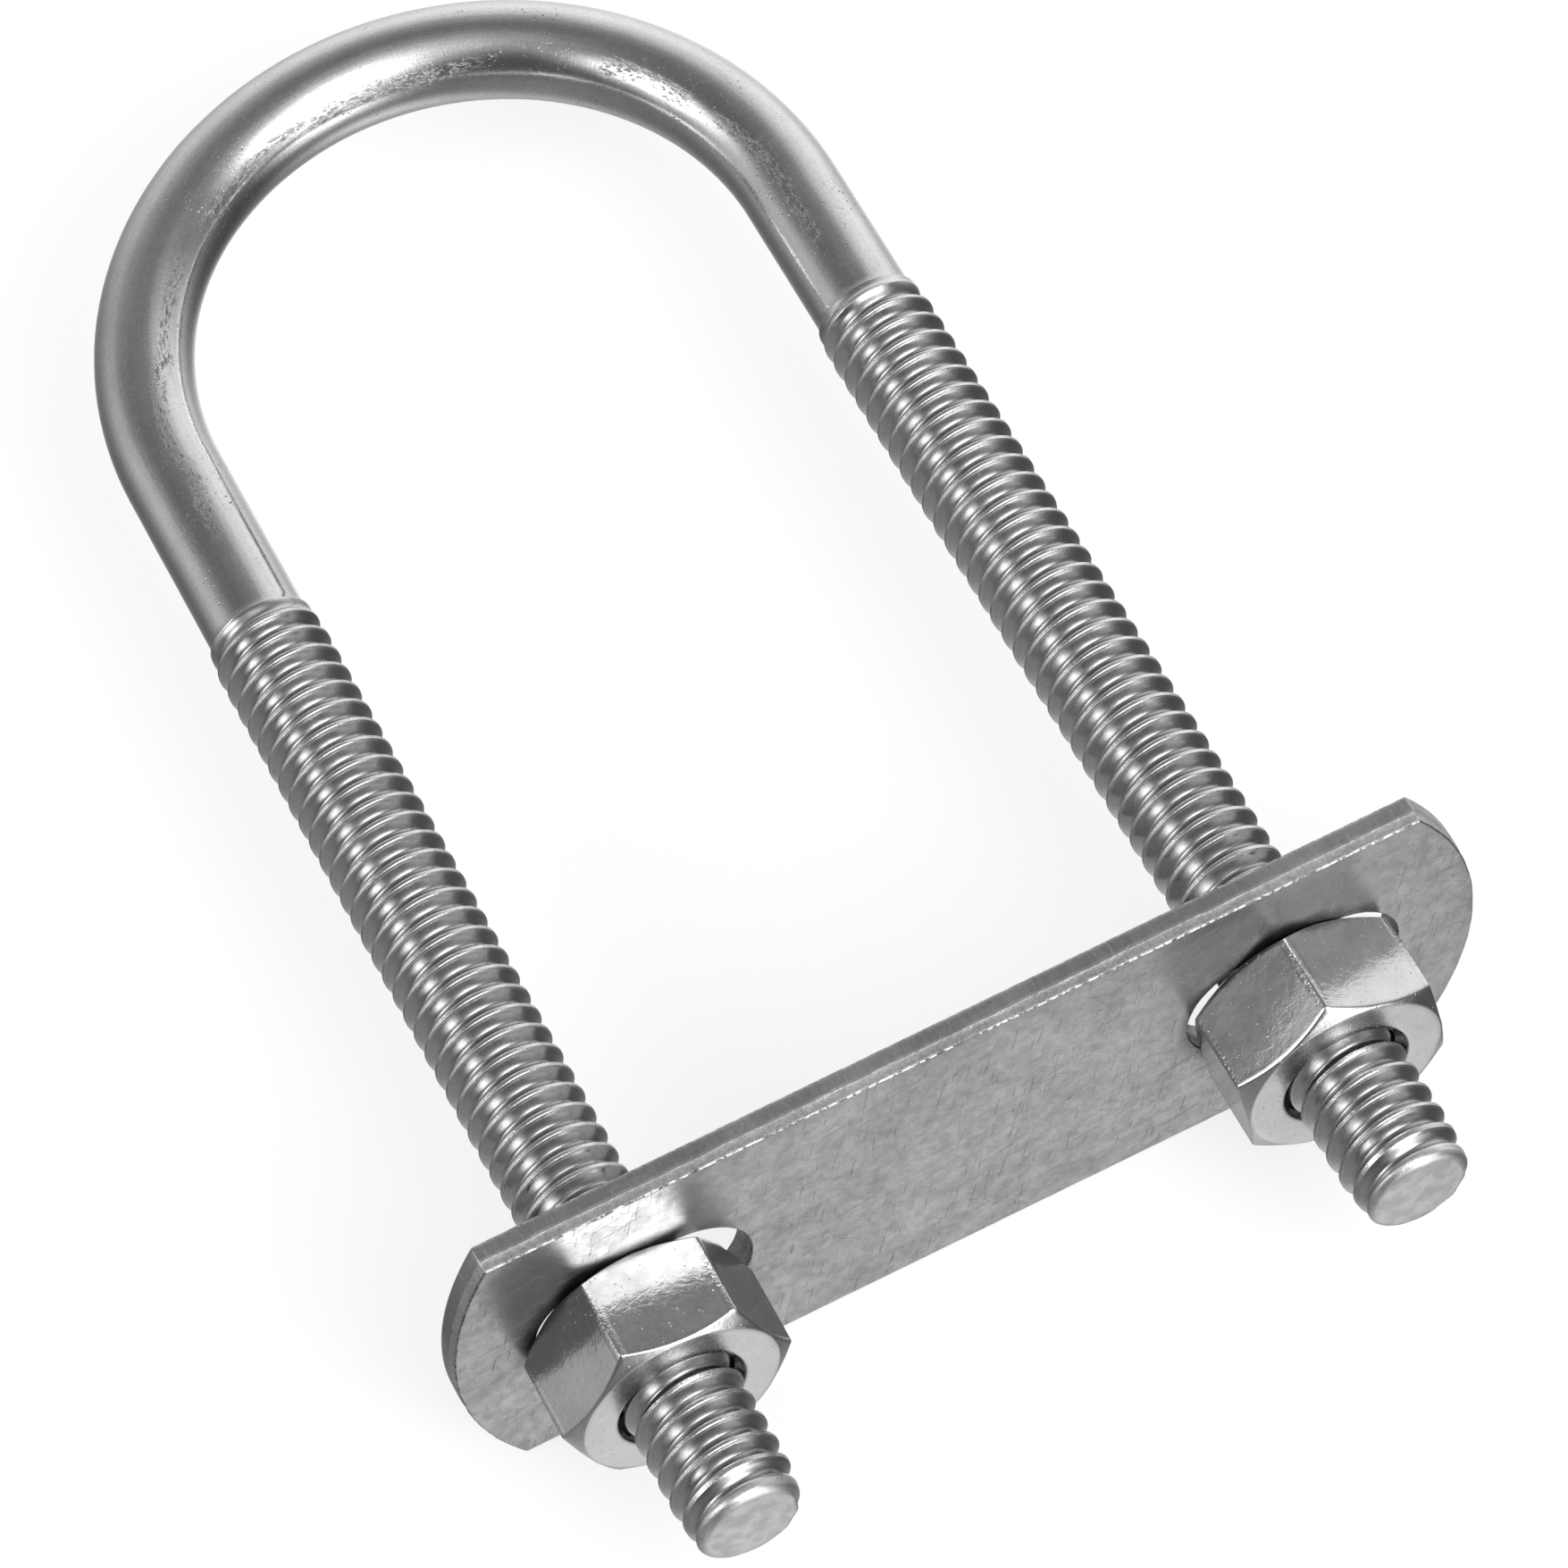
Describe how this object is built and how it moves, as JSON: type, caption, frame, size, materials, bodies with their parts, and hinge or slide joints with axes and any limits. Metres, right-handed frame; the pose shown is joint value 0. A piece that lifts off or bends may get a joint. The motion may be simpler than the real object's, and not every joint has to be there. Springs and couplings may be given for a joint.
{
  "type": "u-bolt with backing plate",
  "caption": "Bent round bar with a threaded leg each side, a flat slotted backing plate and hexagon nuts, used as a lifting or lashing eye or as a pipe clamp.",
  "frame": {"origin": "on the plate's bow-side clamping face, midway between the two leg axes and in the plane of the bolt", "axes": "+Y from the plate towards the bow along the legs, +X from the left leg to the right leg, +Z square to the plane of the bolt"},
  "size_m": [0.0574, 0.09, 0.019],
  "materials": {
    "bar_steel": "bright drawn bar with rolled threads, satin cropped ends",
    "plate_steel": "satin rolled sheet with faint stains and sheared edges",
    "nut_steel": "bright turned and tumbled nut"
  },
  "bodies": {
    "u_bolt": {"u_bolt": "bar_steel"},
    "plate": {"backing_plate": "plate_steel"},
    "nut_left": {"nut_left": "nut_steel"},
    "nut_right": {"nut_right": "nut_steel"}
  },
  "joints": [
    {"name": "plate_slide", "type": "slide", "parent": "u_bolt", "child": "plate", "axis": [0, 1, 0], "range_m": [-0.00762, 0.04191]},
    {"name": "nut_left_spin", "type": "hinge", "parent": "plate", "child": "nut_left", "pos_m": [-0.01862, -0.00435, 0], "axis": [0, 1, 0], "range_deg": [-2175, 11900]},
    {"name": "nut_right_spin", "type": "hinge", "parent": "plate", "child": "nut_right", "pos_m": [0.01862, -0.00435, 0], "axis": [0, 1, 0], "range_deg": [-2175, 11900]}
  ],
  "couplings": [
    {"joint": "nut_left_spin", "follows": "plate_slide", "rad_per_m": 4947.4},
    {"joint": "nut_right_spin", "follows": "plate_slide", "rad_per_m": 4947.4}
  ]
}
